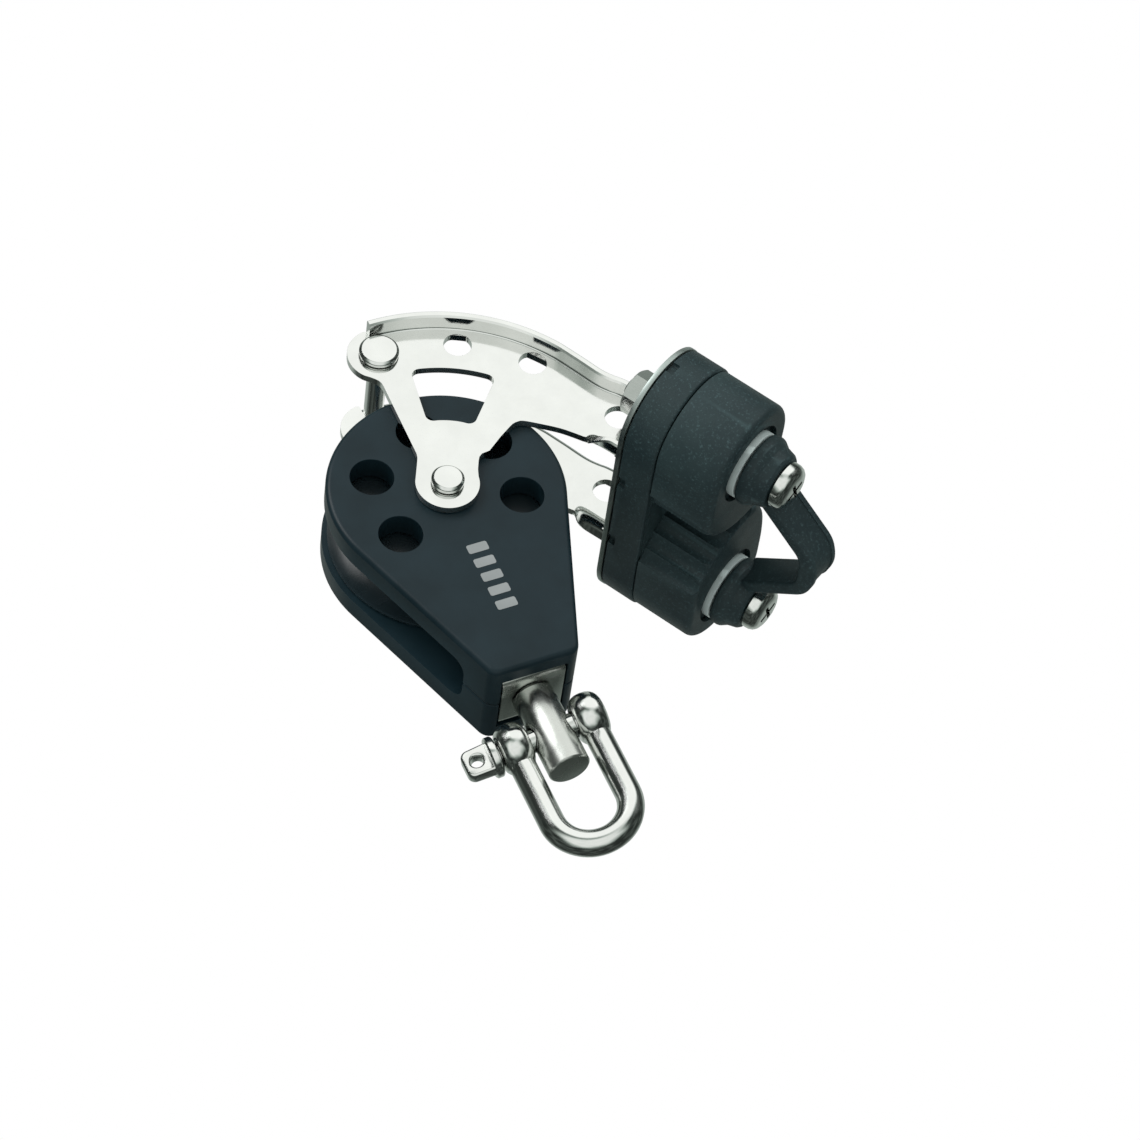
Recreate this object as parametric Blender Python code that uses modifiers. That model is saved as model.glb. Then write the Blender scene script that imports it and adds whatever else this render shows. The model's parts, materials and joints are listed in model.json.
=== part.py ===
"""Swivel block with a becket and a cam cleat carried on two pressed arms.

Frame: origin at the centre of the sheave, +Z from the shackle up to the sheave,
+X towards the cam cleat, +Y along the sheave axle. Lengths are in metres.
"""
import math

import bmesh
import bpy
from mathutils import Matrix, Vector

MM = 0.001
GAP = 0.3 * MM                  # clearance kept between touching pieces

# Block body
CHEEK_R = 22.5 * MM             # round head of the cheek, about the axle
CHEEK_TAPER = math.radians(20.3)
CHEEK_BOTTOM = -42.0 * MM
CHEEK_OUT = 10.3 * MM           # outer face, from the centre plane
SLOT_HALF = 5.3 * MM            # half width of the rope slot
SLOT_FLOOR = -35.3 * MM         # lower end of the rope slot
WINDOW_R = 4.15 * MM            # the five round windows in each cheek
WINDOW_PITCH_R = 14.0 * MM
WINDOW_ANGLES = (32, 90, 150, 210, 334)

# Sheave and axle
SHEAVE_R = 21.5 * MM
SHEAVE_HALF = 5.0 * MM
GROOVE_R = 15.6 * MM            # bottom of the rope groove
SHEAVE_BORE = 5.6 * MM
BUSH_R = 5.3 * MM
AXLE_R = 2.5 * MM
AXLE_HEAD_R = 3.1 * MM

# Stainless strap inside the cheeks
STRAP_IN = 5.3 * MM
STRAP_OUT = 6.6 * MM
STRAP_W = 12.5 * MM
STRAP_BASE = -42.0 * MM
STRAP_T = 1.3 * MM

# Swivel post and shackle
POST_R = 4.0 * MM
POST_NECK_R = 3.3 * MM
POST_END = -59.3 * MM
PIN_Z = -51.0 * MM
SWIVEL = math.radians(-10.0)    # the shackle as it hangs, turned about Z
WIRE_R = 2.5 * MM
BOW_HALF = 7.4 * MM             # wire centre line, from the middle of the bow
BOW_DROP = 17.0 * MM            # pin down to the centre of the bow's round end
EAR_R = 4.9 * MM
EAR_HALF = 3.0 * MM             # half the length of each eye along the pin
PIN_R = 2.25 * MM

# Arms
ARM_TURN = math.radians(1.0)    # arms and cleat, turned about the axle
ARM_MID = 11.3 * MM             # middle of the plate, from the centre plane
SHEET = 1.5 * MM
ARC_R = 38.3 * MM               # top edge of the arm, about the axle
LOBE_R = 6.0 * MM
BECKET = (-1.0 * MM, 32.5 * MM)
BECKET_R = 1.9 * MM
FLANGE_OUT = 15.6 * MM
LIGHTENING = ((14.0, 29.9), (25.9, 21.3), (36.3, 4.0))
LIGHTENING_R = 2.7 * MM

# Cam cleat, measured along its own axes: u = Y, v along the rope, w along the screws
CLEAT_ANGLE = math.radians(59.1)
PIVOT_U = 19.0 * MM
PIVOT_V = 35.4 * MM
CLEAT_R = 12.3 * MM             # rounded ends of the base, about each pivot
FOOT_W = 19.6 * MM
PLATE_W = 21.4 * MM
PLATE_T = 1.0 * MM
BASE_W = 22.7 * MM
BASE_TOP = 29.6 * MM
CAM_W = 29.9 * MM
CAM_TOP = 43.0 * MM
CAM_R = 12.0 * MM
COLLAR_R = 6.9 * MM
BOSS_W = 44.2 * MM
BOSS_TOP = 49.8 * MM
BOSS_R = 7.2 * MM
SCREW_R = 2.5 * MM
SCREW_HEAD_R = 4.7 * MM
SCREW_HEAD_H = 3.0 * MM
HOLE_R = 2.8 * MM               # clearance round a screw

for old in list(bpy.data.objects):
    bpy.data.objects.remove(old, do_unlink=True)

parts = bpy.data.collections.new("cam_cleat_block")
cutters = bpy.data.collections.new("cutters")
for coll in (parts, cutters):
    bpy.context.scene.collection.children.link(coll)


# ---------------------------------------------------------------- materials

def material(name, colour, roughness, metallic):
    mat = bpy.data.materials.new(name)
    mat.use_nodes = True
    shader = mat.node_tree.nodes["Principled BSDF"]
    shader.inputs["Base Color"].default_value = (*colour, 1.0)
    shader.inputs["Roughness"].default_value = roughness
    shader.inputs["Metallic"].default_value = metallic
    return mat


LOOKS = {
    "cheek": ((0.022, 0.029, 0.033), 0.42, 0.0),
    "sheave": ((0.045, 0.052, 0.055), 0.35, 0.0),
    "bush": ((0.55, 0.55, 0.52), 0.4, 0.0),
    "polished": ((0.78, 0.78, 0.76), 0.12, 1.0),
    "satin": ((0.66, 0.67, 0.65), 0.28, 1.0),
    "cam": ((0.026, 0.033, 0.036), 0.55, 0.0),
    "collar": ((0.36, 0.43, 0.42), 0.4, 0.0),
    "plate": ((0.42, 0.47, 0.46), 0.4, 1.0),
    "spring": ((0.5, 0.5, 0.5), 0.3, 1.0),
}


# ------------------------------------------------------------------ helpers

def add_object(name, mesh, parent=None, loc=(0, 0, 0), rot=(0, 0, 0), look=None):
    """Link a mesh as a part, or as a cutter when no look is given."""
    obj = bpy.data.objects.new(name, mesh)
    obj.location = loc
    obj.rotation_euler = rot
    obj.parent = parent
    if look is None:
        cutters.objects.link(obj)
        obj.hide_render = True
        obj.display_type = "WIRE"
    else:
        parts.objects.link(obj)
        mesh.materials.clear()
        mesh.materials.append(material(name, *LOOKS[look]))
    return obj


def empty(name, loc=(0, 0, 0), matrix=None, parent=None):
    obj = bpy.data.objects.new(name, None)
    parts.objects.link(obj)
    obj.parent = parent
    obj.location = loc
    if matrix is not None:
        obj.rotation_euler = matrix.to_euler()
    return obj


def mesh_from(bm, name):
    bmesh.ops.recalc_face_normals(bm, faces=bm.faces)
    mesh = bpy.data.meshes.new(name)
    bm.to_mesh(mesh)
    bm.free()
    return mesh


def cylinder(name, radius, depth, sides=24):
    """A cylinder centred on the origin along Z."""
    bm = bmesh.new()
    bmesh.ops.create_cone(bm, cap_ends=True, segments=sides, radius1=radius,
                          radius2=radius, depth=depth)
    return mesh_from(bm, name)


def box(name, size):
    bm = bmesh.new()
    bmesh.ops.create_cube(bm, size=1.0)
    bmesh.ops.scale(bm, vec=size, verts=bm.verts)
    return mesh_from(bm, name)


def sheet(name, loops, thickness, round_top=0.0, segments=2):
    """A flat outline with holes, extruded evenly about its plane.

    round_top rounds the edge of the +Z face by that radius.
    """
    data = bpy.data.curves.new(name, "CURVE")
    data.dimensions = "2D"
    data.fill_mode = "BOTH"
    data.extrude = thickness / 2
    for loop in loops:
        spline = data.splines.new("POLY")
        spline.points.add(len(loop) - 1)
        for point, (x, y) in zip(spline.points, loop):
            point.co = (x, y, 0.0, 1.0)
        spline.use_cyclic_u = True
    curve = bpy.data.objects.new(name, data)
    bpy.context.scene.collection.objects.link(curve)
    graph = bpy.context.evaluated_depsgraph_get()
    mesh = bpy.data.meshes.new_from_object(curve.evaluated_get(graph))
    bpy.data.objects.remove(curve, do_unlink=True)
    bm = bmesh.new()
    bm.from_mesh(mesh)
    bmesh.ops.remove_doubles(bm, verts=bm.verts, dist=1e-6)
    bmesh.ops.recalc_face_normals(bm, faces=bm.faces)
    if round_top:
        bmesh.ops.dissolve_limit(bm, angle_limit=0.01, verts=bm.verts, edges=bm.edges)
        level = thickness / 2 - 1e-6
        rim = [e for e in bm.edges
               if all(v.co.z > level for v in e.verts) and e.calc_face_angle(0) > 1.0]
        bmesh.ops.bevel(bm, geom=rim, offset=round_top, segments=segments,
                        affect="EDGES", profile=0.5, clamp_overlap=True)
    bm.to_mesh(mesh)
    bm.free()
    return mesh


def turned(name, profile, parent=None, loc=(0, 0, 0), rot=(0, 0, 0), look=None,
           steps=32, closed=False):
    """A turned shape: (radius, height) points, the outer side top to bottom."""
    mesh = bpy.data.meshes.new(name)
    last = len(profile) - 1
    edges = [(i, i + 1) for i in range(last)] + ([(last, 0)] if closed else [])
    mesh.from_pydata([(r, 0.0, z) for r, z in profile], edges, [])
    obj = add_object(name, mesh, parent, loc, rot, look)
    screw = obj.modifiers.new("turn", "SCREW")
    screw.steps = screw.render_steps = steps
    screw.use_merge_vertices = True
    screw.merge_threshold = 1e-6
    return obj


def tube(name, bore, outer, low, high, **kwargs):
    """A turned ring between two heights."""
    profile = [(outer, high), (outer, low), (bore, low), (bore, high)]
    return turned(name, profile, closed=True, **kwargs)


def boolean(obj, cutter, operation="DIFFERENCE"):
    mod = obj.modifiers.new(operation.lower(), "BOOLEAN")
    mod.operation = operation
    mod.object = cutter
    mod.solver = "EXACT"


def smooth(obj, angle=35.0):
    obj.data.shade_smooth()
    obj.data.set_sharp_from_angle(angle=math.radians(angle))


def arc(cx, cy, radius, start, end, count):
    """Points on an arc, angles in degrees, both ends included."""
    angles = [math.radians(start + (end - start) * i / count) for i in range(count + 1)]
    return [(cx + radius * math.cos(t), cy + radius * math.sin(t)) for t in angles]


def circle(cx, cy, radius, count):
    return arc(cx, cy, radius, 0, 360, count)[:-1]


def rounded(corners, count=3):
    """An outline from (x, y, fillet radius) corners."""
    points = []
    total = len(corners)
    for i, (x, y, radius) in enumerate(corners):
        here = Vector((x, y))
        if not radius:
            points.append((x, y))
            continue
        to_last = (Vector(corners[i - 1][:2]) - here).normalized()
        to_next = (Vector(corners[(i + 1) % total][:2]) - here).normalized()
        half = to_last.angle(to_next) / 2
        centre = here + (to_last + to_next).normalized() * (radius / math.sin(half))
        first = here + to_last * (radius / math.tan(half)) - centre
        final = here + to_next * (radius / math.tan(half)) - centre
        sweep = first.angle_signed(final)
        for k in range(count + 1):
            spoke = first.copy()
            spoke.rotate(Matrix.Rotation(-sweep * k / count, 2))
            points.append(tuple(centre + spoke))
    return points


def shifted(line, distance):
    """A polyline moved sideways, to the left of its direction."""
    moved = []
    for i, point in enumerate(line):
        before = Vector(line[max(i - 1, 0)])
        after = Vector(line[min(i + 1, len(line) - 1)])
        way = (after - before).normalized()
        moved.append((point[0] - way.y * distance, point[1] + way.x * distance))
    return moved


UPRIGHT = (math.radians(90), 0, 0)      # an XY outline stood up in the XZ plane


# -------------------------------------------------------------- block cheeks

def cheek_outline():
    """Teardrop: a round head with straight tapers down to a narrow foot."""
    taper = math.degrees(CHEEK_TAPER)
    run = (CHEEK_R * math.sin(CHEEK_TAPER) + CHEEK_BOTTOM) / math.cos(CHEEK_TAPER)
    foot = CHEEK_R * math.cos(CHEEK_TAPER) + run * math.sin(CHEEK_TAPER)
    head = arc(0, 0, CHEEK_R, -taper, 180 + taper, 30)
    corners = [(x, z, 0) for x, z in head]
    corners += [(-foot, CHEEK_BOTTOM, 2.6 * MM), (foot, CHEEK_BOTTOM, 2.6 * MM)]
    return rounded(corners)


def slot_outline(floor, half, top, corner):
    return rounded([(-half, floor, corner), (half, floor, corner),
                    (half, top, 0), (-half, top, 0)])


def strap_outline(inner, outer, base, thickness, top):
    """U section of the strap, seen along X."""
    return [(-outer, top), (-outer, base), (outer, base), (outer, top),
            (inner, top), (inner, base + thickness),
            (-inner, base + thickness), (-inner, top)]


ALONG_X = (math.radians(90), 0, math.radians(90))   # an XY outline seen along X

slot = add_object("slot_cutter", sheet("slot_cutter", [slot_outline(
    SLOT_FLOOR, SLOT_HALF, 30 * MM, 3.0 * MM)], 60 * MM), rot=ALONG_X)
pocket = add_object("strap_pocket", sheet("strap_pocket", [strap_outline(
    STRAP_IN - GAP, STRAP_OUT + GAP, STRAP_BASE - 2 * MM, STRAP_T + 2 * MM + GAP,
    10 * MM)], STRAP_W + 2 * GAP), rot=ALONG_X)
head_room = add_object("swivel_head_room", cylinder("swivel_head_room", 5.25 * MM, 5 * MM),
                       loc=(0, 0, -39.4 * MM))
axle_hole = add_object("axle_hole", cylinder("axle_hole", AXLE_R + GAP, 40 * MM), rot=UPRIGHT)

for name, side in (("front_cheek", -1), ("rear_cheek", 1)):
    depth = CHEEK_OUT - GAP / 2
    turn = UPRIGHT if side < 0 else (math.radians(90), 0, math.radians(180))
    cheek = add_object(name, sheet(name, [cheek_outline()], depth, round_top=1.6 * MM),
                       loc=(0, side * (CHEEK_OUT + GAP / 2) / 2, 0), rot=turn, look="cheek")
    for index, angle in enumerate(WINDOW_ANGLES):
        spot = Vector((math.cos(math.radians(angle)), 0, math.sin(math.radians(angle))))
        window = add_object(f"{name}_window_{index}", cylinder("window", WINDOW_R, 8 * MM, 20),
                            loc=spot * WINDOW_PITCH_R + Vector((0, side * 9 * MM, 0)),
                            rot=UPRIGHT)
        boolean(cheek, window)
    for cutter in (slot, pocket, head_room, axle_hole):
        boolean(cheek, cutter)
    smooth(cheek)

# Strap: a U of plate with round tops on the axle and the swivel hole in its base
strap = add_object("strap", sheet("strap", [strap_outline(
    STRAP_IN, STRAP_OUT, STRAP_BASE, STRAP_T, STRAP_W / 2)], STRAP_W),
    rot=ALONG_X, look="satin")
side_view = [(-0.6 * STRAP_W, STRAP_BASE - MM), (0.6 * STRAP_W, STRAP_BASE - MM),
             (0.6 * STRAP_W, -MM), (STRAP_W / 2, -MM)]
side_view += arc(0, 0, STRAP_W / 2, 0, 180, 12)
side_view += [(-STRAP_W / 2, -MM), (-0.6 * STRAP_W, -MM)]
strap_shape = add_object("strap_shape", sheet("strap_shape", [side_view], 30 * MM), rot=UPRIGHT)
boolean(strap, strap_shape, "INTERSECT")
boolean(strap, axle_hole)
boolean(strap, add_object("swivel_hole", cylinder("swivel_hole", POST_NECK_R + GAP, 8 * MM),
                          loc=(0, 0, STRAP_BASE)))

# -------------------------------------------------------------------- sheave

ALONG_Y = (math.radians(-90), 0, 0)     # a turned shape laid on the axle

groove = [(SHEAVE_R - 0.5 * MM, SHEAVE_HALF), (SHEAVE_R, SHEAVE_HALF - 0.5 * MM)]
for k in range(9):                      # round-bottomed rope groove
    t = math.radians(180 - 180 * k / 8)
    groove.append((SHEAVE_R - (SHEAVE_R - GROOVE_R) * math.sin(t),
                   -(SHEAVE_HALF - 0.9 * MM) * math.cos(t)))
groove += [(SHEAVE_R, -SHEAVE_HALF + 0.5 * MM), (SHEAVE_R - 0.5 * MM, -SHEAVE_HALF)]
groove += [(SHEAVE_BORE, -SHEAVE_HALF), (SHEAVE_BORE, SHEAVE_HALF)]
smooth(turned("sheave", groove, rot=ALONG_Y, look="sheave", steps=40, closed=True))
smooth(tube("sheave_bush", AXLE_R + GAP, BUSH_R, -SHEAVE_HALF, SHEAVE_HALF,
            rot=ALONG_Y, look="bush"))

AXLE_FACE = ARM_MID + SHEET / 2 + 0.25 * MM
axle = [(0, AXLE_FACE + 1.4 * MM), (AXLE_HEAD_R - 0.3 * MM, AXLE_FACE + 1.4 * MM),
        (AXLE_HEAD_R, AXLE_FACE + 1.1 * MM), (AXLE_HEAD_R, AXLE_FACE), (AXLE_R, AXLE_FACE)]
axle += [(r, -h) for r, h in reversed(axle)]
smooth(turned("axle_rivet", axle, rot=ALONG_Y, look="polished", steps=24))

# ---------------------------------------------------------------------- arms

cleat_matrix = Matrix((
    (0, math.sin(CLEAT_ANGLE), math.cos(CLEAT_ANGLE)),
    (1, 0, 0),
    (0, math.cos(CLEAT_ANGLE), -math.sin(CLEAT_ANGLE))))
arms = empty("arm_frame", matrix=Matrix.Rotation(ARM_TURN, 3, "Y"))
cleat = empty("cleat_frame", matrix=cleat_matrix, parent=arms)


def in_arm(v, w):
    """Cleat coordinates as a point of the arm's XZ plane."""
    spot = cleat_matrix @ Vector((0, v, w))
    return spot.x, spot.z


END_W = FOOT_W + SHEET / 2       # the plate ends inside the thickness of its foot
upper_edge = [(39.6 * MM, 9.8 * MM), (38.0 * MM, 11.4 * MM), (36.4 * MM, 13.4 * MM)]
upper_edge = ([in_arm(39.6 * MM, END_W), in_arm(39.4 * MM, 16 * MM)] + upper_edge
              + arc(0, 0, ARC_R, 27, 92, 18))
lower_edge = [(17.4, 9.1), (18.8, 9.0), (21.6, 7.3), (24.8, 5.1), (27.7, 2.4),
              (29.1, 0.9), (31.4, -2.9)]
lower_edge = [(x * MM, z * MM) for x, z in lower_edge] + [in_arm(25.5 * MM, END_W)]


def arm_outline():
    """Axle lobe, the two struts' outer edges, the cleat end and the becket lobe."""
    line = arc(0, 0, LOBE_R, 163, 354, 16)
    line += [(x * MM, z * MM) for x, z in (
        (7.9, 3.6), (8.6, 4.2), (10.2, 4.3), (13.4, 6.8), (16.1, 8.6))]
    line += lower_edge + upper_edge
    line += arc(*BECKET, LOBE_R, 98, 222, 9)
    line += [(x * MM, z * MM) for x, z in ((-4.0, 27.2), (-3.2, 26.2), (-3.0, 25.0),
                                           (-3.0, 8.1), (-4.2, 5.0))]
    return line


def arm_window():
    """The wide opening between the two struts, concentric with the axle."""
    outer = arc(0, 0, 27.2 * MM, 48.5, 83.3, 6)
    inner = arc(0, 0, 14.6 * MM, 83.3, 48.5, 4)
    corner = {0: 1.6 * MM, 6: 1.6 * MM, 7: 1.6 * MM, 11: 1.6 * MM}
    return rounded([(x, z, corner.get(i, 0)) for i, (x, z) in enumerate(outer + inner)])


def strip(name, line, side, reach):
    """A flange along an edge of the arm, standing outwards from the plate."""
    outline = shifted(line, 0.04 * MM) + shifted(line, SHEET)[::-1]
    return add_object(name, sheet(name, [outline], reach - ARM_MID), parent=arms,
                      loc=(0, side * (reach + ARM_MID) / 2, 0), rot=UPRIGHT)


for name, side in (("front_arm", -1), ("rear_arm", 1)):
    loops = [arm_outline(), arm_window(), circle(0, 0, AXLE_R + GAP, 16),
             circle(*BECKET, BECKET_R + GAP, 16)]
    loops += [circle(x * MM, z * MM, LIGHTENING_R, 16) for x, z in LIGHTENING]
    arm = add_object(name, sheet(name, loops, SHEET), parent=arms,
                     loc=(0, side * ARM_MID, 0), rot=UPRIGHT, look="polished")
    top_line = [in_arm(39.6 * MM, END_W + GAP)] + upper_edge[1:]
    low_line = [(28.3 * MM, 1.8 * MM)] + lower_edge[5:-1] + [in_arm(25.5 * MM, END_W + GAP)]
    boolean(arm, strip(f"{name}_top_flange", top_line, side, FLANGE_OUT), "UNION")
    boolean(arm, strip(f"{name}_low_flange", low_line, side, 14.7 * MM), "UNION")
    foot = [(side * u * MM, v * MM) for u, v in ((11.2, 25.7), (14.5, 26.6), (19.0, 29.9))]
    ring = arc(0, 0, 5.5 * MM, -60, 90, 8)
    foot += [(side * (PIVOT_U + u), PIVOT_V + v) for u, v in ring]
    foot += [(side * 15.0 * MM, 40.6 * MM), (side * 11.2 * MM, 39.5 * MM)]
    tab = add_object(f"{name}_foot", sheet(f"{name}_foot", [
        foot, circle(side * PIVOT_U, PIVOT_V, HOLE_R, 16)], SHEET),
        parent=cleat, loc=(0, 0, FOOT_W + SHEET / 2))
    boolean(arm, tab, "UNION")

# Becket pin across the arms, its heads close against the plates
PIN_HEAD = ARM_MID + SHEET / 2 + 0.25 * MM
pin = [(0, PIN_HEAD + 1.3 * MM), (3.5 * MM, PIN_HEAD + 1.3 * MM), (3.8 * MM, PIN_HEAD + 1.0 * MM),
       (3.8 * MM, PIN_HEAD), (BECKET_R, PIN_HEAD)]
pin += [(r, -h) for r, h in reversed(pin)]
smooth(turned("becket_pin", pin, parent=arms, loc=(BECKET[0], 0, BECKET[1]), rot=ALONG_Y,
              look="polished", steps=24))

# --------------------------------------------------------- swivel and shackle

swivel = empty("swivel_axis", loc=(0, 0, STRAP_BASE), matrix=Matrix.Rotation(SWIVEL, 3, "Z"))
top = STRAP_BASE + STRAP_T
post_profile = [(0, top + 3.5 * MM), (5.0 * MM, top + 3.5 * MM), (5.0 * MM, top + 1.35 * MM),
                (POST_NECK_R, top + 1.35 * MM), (POST_NECK_R, STRAP_BASE - GAP),
                (POST_R, STRAP_BASE - GAP), (POST_R, POST_END + 0.3 * MM),
                (POST_R - 0.3 * MM, POST_END), (0, POST_END)]
post = turned("swivel_post", [(r, h - STRAP_BASE) for r, h in post_profile],
              parent=swivel, look="satin", steps=28)
tube("thrust_washer", POST_NECK_R + GAP, 5.0 * MM, top + 0.25 * MM, top + 1.05 * MM,
     look="bush", steps=24)

shackle = empty("shackle_axis", loc=(0, 0, PIN_Z - STRAP_BASE), parent=swivel)
ACROSS = (0, math.radians(90), 0)       # a Z cylinder laid along the shackle pin
pin_hole = add_object("pin_hole", cylinder("pin_hole", PIN_R + GAP, 30 * MM),
                      parent=shackle, rot=ACROSS)
boolean(post, pin_hole)
smooth(post)

bow = bpy.data.curves.new("bow", "CURVE")
bow.dimensions = "3D"
bow.bevel_depth = WIRE_R
bow.bevel_resolution = 2
bow.use_fill_caps = True
path = [(-BOW_HALF, -2.0 * MM), (-BOW_HALF, -10 * MM)]
path += arc(0, -BOW_DROP, BOW_HALF, 180, 360, 12)
path += [(BOW_HALF, -10 * MM), (BOW_HALF, -2.0 * MM)]
spline = bow.splines.new("POLY")
spline.points.add(len(path) - 1)
for point, (x, z) in zip(spline.points, path):
    point.co = (x, 0.0, z, 1.0)
wire = bpy.data.objects.new("bow_wire", bow)
bpy.context.scene.collection.objects.link(wire)
depsgraph = bpy.context.evaluated_depsgraph_get()
bow_mesh = bpy.data.meshes.new_from_object(wire.evaluated_get(depsgraph))
bpy.data.objects.remove(wire, do_unlink=True)
bm = bmesh.new()
bm.from_mesh(bow_mesh)
bmesh.ops.remove_doubles(bm, verts=bm.verts, dist=1e-6)
bmesh.ops.recalc_face_normals(bm, faces=bm.faces)
bm.to_mesh(bow_mesh)
bm.free()
shackle_bow = add_object("shackle_bow", bow_mesh, parent=shackle, look="polished")
for side in (-1, 1):
    ear = [(0, 1), (0.55, 1), (0.82, 0.75), (0.96, 0.4), (1, 0)]
    ear += [(r, -h) for r, h in reversed(ear[:-1])]
    ear_obj = turned(f"ear_{side + 1}", [(r * EAR_R, h * EAR_HALF) for r, h in ear],
                     parent=shackle, loc=(side * BOW_HALF, 0, 0), rot=ACROSS, steps=20)
    boolean(shackle_bow, ear_obj, "UNION")
boolean(shackle_bow, pin_hole)
smooth(shackle_bow)

# Shackle pin: threaded shank, collar and a flat lug with a hole for turning it
shank = [(0, 10.3), (1.95, 10.3), (2.25, 10.0), (2.25, -10.7), (3.6, -10.7), (3.9, -11.0),
         (3.9, -12.0), (3.6, -12.3), (0, -12.3)]
shackle_pin = turned("shackle_pin", [(r * MM, h * MM) for r, h in shank], parent=shackle,
                     rot=ACROSS, look="polished", steps=20)
lug_outline = rounded([(-17.2 * MM, -2.8 * MM, 1.5 * MM), (-11.8 * MM, -3.1 * MM, 0),
                       (-11.8 * MM, 3.1 * MM, 0), (-17.2 * MM, 2.8 * MM, 1.5 * MM)], 4)
lug = add_object("pin_lug", sheet("pin_lug", [lug_outline,
                 circle(-14.7 * MM, 0, 1.2 * MM, 12)], 2.4 * MM), parent=shackle, rot=UPRIGHT)
boolean(shackle_pin, lug, "UNION")
smooth(shackle_pin)

# ----------------------------------------------------------------- cam cleat

def obround(radius):
    """Long outline with round ends about the two cam pivots."""
    return (arc(PIVOT_U, 0, radius, -90, 90, 12) + arc(-PIVOT_U, 0, radius, 90, 270, 12))


holes = [circle(side * PIVOT_U, 0, HOLE_R, 16) for side in (-1, 1)]
add_object("cleat_plate", sheet("cleat_plate", [obround(CLEAT_R + 0.1 * MM)] + holes, PLATE_T),
           parent=cleat, loc=(0, PIVOT_V, PLATE_W + PLATE_T / 2), look="plate")
base = add_object("cleat_base", sheet("cleat_base", [obround(CLEAT_R)] + holes,
                                      BASE_TOP - BASE_W),
                  parent=cleat, loc=(0, PIVOT_V, (BASE_W + BASE_TOP) / 2), look="cam")
for index, (u, v) in enumerate(((-31.3, 0.0), (-8.8, -12.3), (8.8, -12.3), (31.3, 0.0))):
    turn = math.atan2(-u + math.copysign(19, u), -v) if abs(u) > 19 else 0.0
    drain = add_object(f"drain_{index}", box("drain", (2.6 * MM, 1.6 * MM, 3.2 * MM)),
                       parent=cleat, loc=(u * MM, PIVOT_V + v * MM, BASE_W),
                       rot=(0, 0, -turn))
    boolean(base, drain)
smooth(base)


def jaw_radius(angle):
    """Jaw face: its reach from the pivot grows from the mouth to the nose."""
    reach = (math.degrees(angle) + 54.0) / 72.0
    return (15.0 + 4.35 * min(max(reach, 0.0), 1.0) ** 0.8) * MM


def cam_outline(tooth):
    """Cam seen from above its pivot, jaw towards +X; tooth is the ridge height."""
    line = []
    count = 18
    for k in range(count + 1):
        angle = math.radians(-54 + 72 * k / count)
        radius = jaw_radius(angle) - (tooth if k % 2 else 0.0)
        line.append((radius * math.cos(angle), radius * math.sin(angle)))
    line += [(17.0 * MM, 8.2 * MM), (12.5 * MM, 10.7 * MM), (6.5 * MM, 11.8 * MM)]
    line += arc(0, 0, CAM_R, 90, 270, 14)
    line += [(7.4 * MM, -12.1 * MM)]
    return line


cam_height = CAM_TOP - CAM_W
for name, side in (("front_cam", -1), ("rear_cam", 1)):
    shape = cam_outline(0.75 * MM)
    domed = cam_outline(0.0)
    if side > 0:
        shape = [(-u, v) for u, v in reversed(shape)]
        domed = [(-u, v) for u, v in reversed(domed)]
    pivot = (side * PIVOT_U, PIVOT_V, 0)
    cam = add_object(name, sheet(name, [shape, circle(0, 0, 4.7 * MM, 20)], cam_height),
                     parent=cleat, loc=(pivot[0], pivot[1], (CAM_W + CAM_TOP) / 2), look="cam")
    cover = add_object(f"{name}_dome", sheet(f"{name}_dome", [domed], cam_height + MM,
                                             round_top=2.6 * MM, segments=3),
                       parent=cleat, loc=(pivot[0], pivot[1], (CAM_W + CAM_TOP - MM) / 2))
    boolean(cam, cover, "INTERSECT")
    for label, radius, low, high in (("collar_seat", 8.2, CAM_TOP - 1.2 * MM, CAM_TOP + MM),
                                     ("spring_seat", 8.4, CAM_W - MM, CAM_W + 3.8 * MM)):
        seat = add_object(f"{name}_{label}", cylinder(label, radius * MM, high - low),
                          parent=cleat, loc=(pivot[0], pivot[1], (low + high) / 2))
        boolean(cam, seat)
    smooth(cam, 30)
    # Pivot bush: a tube on the screw with a wide collar that keeps the cam down
    bush = [(COLLAR_R - 0.3 * MM, 43.9), (COLLAR_R, 43.6), (COLLAR_R, 42.1), (4.4 * MM, 42.1),
            (4.4 * MM, 29.9), (HOLE_R, 29.9), (HOLE_R, 43.9)]
    smooth(turned(f"{name}_bush", [(r, h * MM) for r, h in bush], parent=cleat, loc=pivot,
                  look="collar", steps=28, closed=True))

    # Return spring: two and a half turns of wire round the bush, under the cam
    coil = bpy.data.curves.new("coil", "CURVE")
    coil.dimensions = "3D"
    coil.bevel_depth = 0.45 * MM
    coil.bevel_resolution = 1
    coil.use_fill_caps = True
    spline = coil.splines.new("POLY")
    turns, per_turn = 2.5, 14
    spline.points.add(int(turns * per_turn))
    for k, point in enumerate(spline.points):
        angle = side * 2 * math.pi * k / per_turn
        point.co = (6.5 * MM * math.cos(angle), 6.5 * MM * math.sin(angle),
                    1.2 * MM * k / per_turn, 1.0)
    winding = bpy.data.objects.new("winding", coil)
    bpy.context.scene.collection.objects.link(winding)
    depsgraph = bpy.context.evaluated_depsgraph_get()
    coil_mesh = bpy.data.meshes.new_from_object(winding.evaluated_get(depsgraph))
    bpy.data.objects.remove(winding, do_unlink=True)
    bm = bmesh.new()
    bm.from_mesh(coil_mesh)
    bmesh.ops.remove_doubles(bm, verts=bm.verts, dist=1e-6)
    bmesh.ops.recalc_face_normals(bm, faces=bm.faces)
    bm.to_mesh(coil_mesh)
    bm.free()
    add_object(f"{name}_spring", coil_mesh, parent=cleat,
               loc=(pivot[0], pivot[1], CAM_W + 0.35 * MM), look="spring")

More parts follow.
